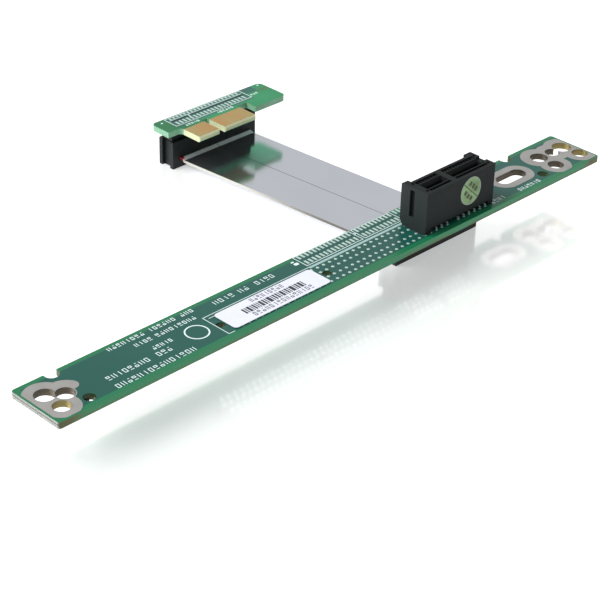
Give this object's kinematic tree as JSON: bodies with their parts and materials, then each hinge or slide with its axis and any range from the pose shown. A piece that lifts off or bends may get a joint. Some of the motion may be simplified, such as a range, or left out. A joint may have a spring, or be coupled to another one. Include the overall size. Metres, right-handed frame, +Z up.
{
  "type": "riser card",
  "caption": "Riser card: a long narrow circuit board with an upright card slot, joined by a flat ribbon to a small plug board with gold edge contacts.",
  "frame": {"origin": "centre of the underside of the ribbon socket under the long board, on the surface that the card rests on", "axes": "+X along the long board towards its slotted end, +Y from the long board towards the plug board, +Z up, out of the card slot's mouth"},
  "size_m": [0.178, 0.0918, 0.0233],
  "materials": {
    "long_board": "dark green solder mask over glass-fibre laminate",
    "small_board": "green solder mask over glass-fibre laminate",
    "tin": "tinned copper",
    "gold": "gold plated",
    "black_moulding": "moulded, fine matte",
    "ribbon": "smooth grey PVC",
    "label": "white paper",
    "sticker": "green film"
  },
  "bodies": {
    "root": {"riser_board": "long_board", "fixing_pads": "tin", "slot_field_pads": "tin", "comb_pads_left": "tin", "comb_pads_middle": "tin", "comb_pads_right": "tin", "slot_housing": "black_moulding", "slot_contacts_near": "gold", "slot_contacts_far": "gold", "board_label": "label", "slot_sticker": "sticker", "riser_header": "black_moulding", "riser_header_feet": "tin", "riser_socket_body": "black_moulding", "riser_socket_cover": "black_moulding", "ribbon": "ribbon", "plug_board": "small_board", "plug_fingers_top": "gold", "plug_fingers_bottom": "gold", "plug_pads": "tin", "plug_header": "black_moulding", "plug_header_feet": "tin", "plug_socket_body": "black_moulding", "plug_socket_cover": "black_moulding"}
  },
  "joints": []
}
